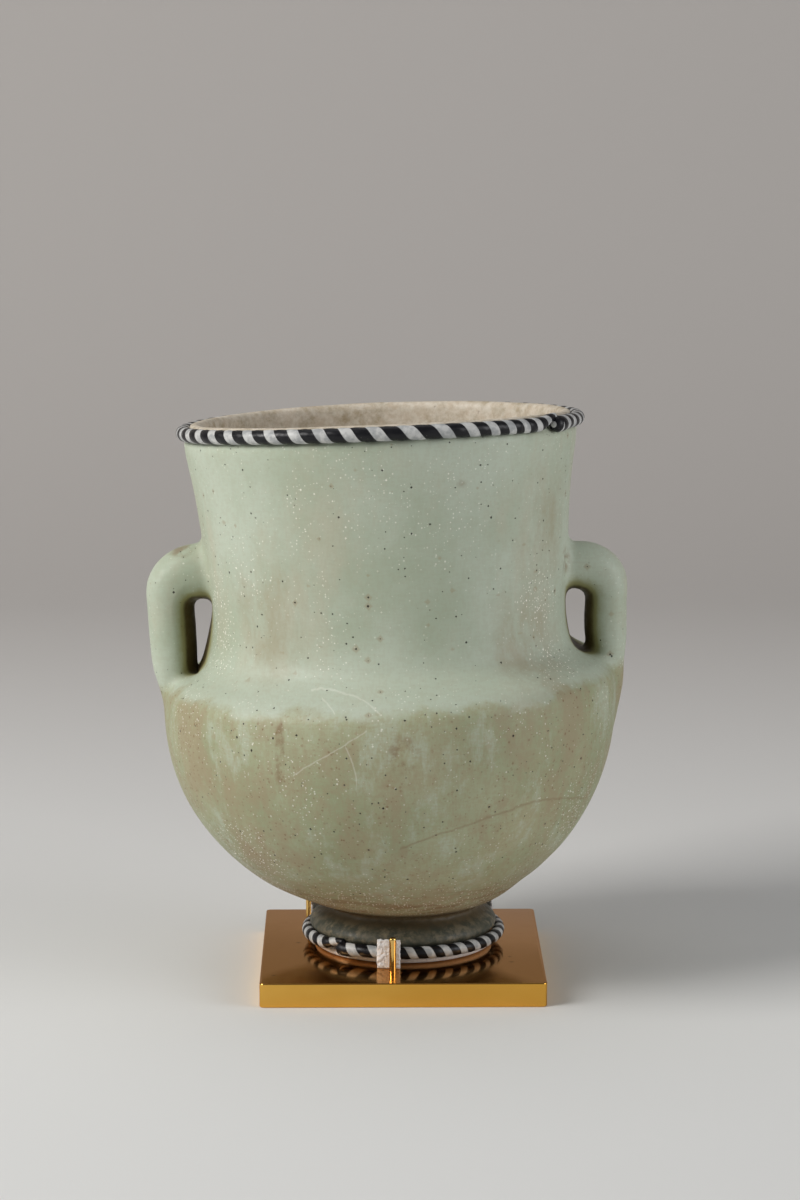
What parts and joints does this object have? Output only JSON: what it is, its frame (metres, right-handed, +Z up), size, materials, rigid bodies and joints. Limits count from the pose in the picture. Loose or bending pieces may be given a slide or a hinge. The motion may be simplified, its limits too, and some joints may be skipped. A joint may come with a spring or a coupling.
{
  "type": "glass jar",
  "caption": "Small handled glass jar with twisted black-and-white canes round rim and foot, held by pins on a square brass plate.",
  "frame": {"origin": "middle of the underside of the brass plate that holds the jar", "axes": "+Z up through the jar's mouth, +X to the right seen from the front, +Y to the back; the handles lie along X"},
  "size_m": [0.0872, 0.082, 0.1043],
  "materials": {
    "jar_glass": "milky pale green glass, weathered, with a soft gloss",
    "cane_glass": "black and white glass threads twisted together, soft gloss",
    "brass": "polished",
    "felt": "white felt, matt"
  },
  "bodies": {
    "root": {"jar": "jar_glass", "handle_left": "jar_glass", "handle_right": "jar_glass", "rim_cane": "cane_glass", "foot_cane": "cane_glass", "mount_plate": "brass", "pin_front": "brass", "pin_left": "brass", "pin_right": "brass", "foot_pad": "felt", "pad_front": "felt", "pad_left": "felt", "pad_right": "felt"}
  },
  "joints": []
}
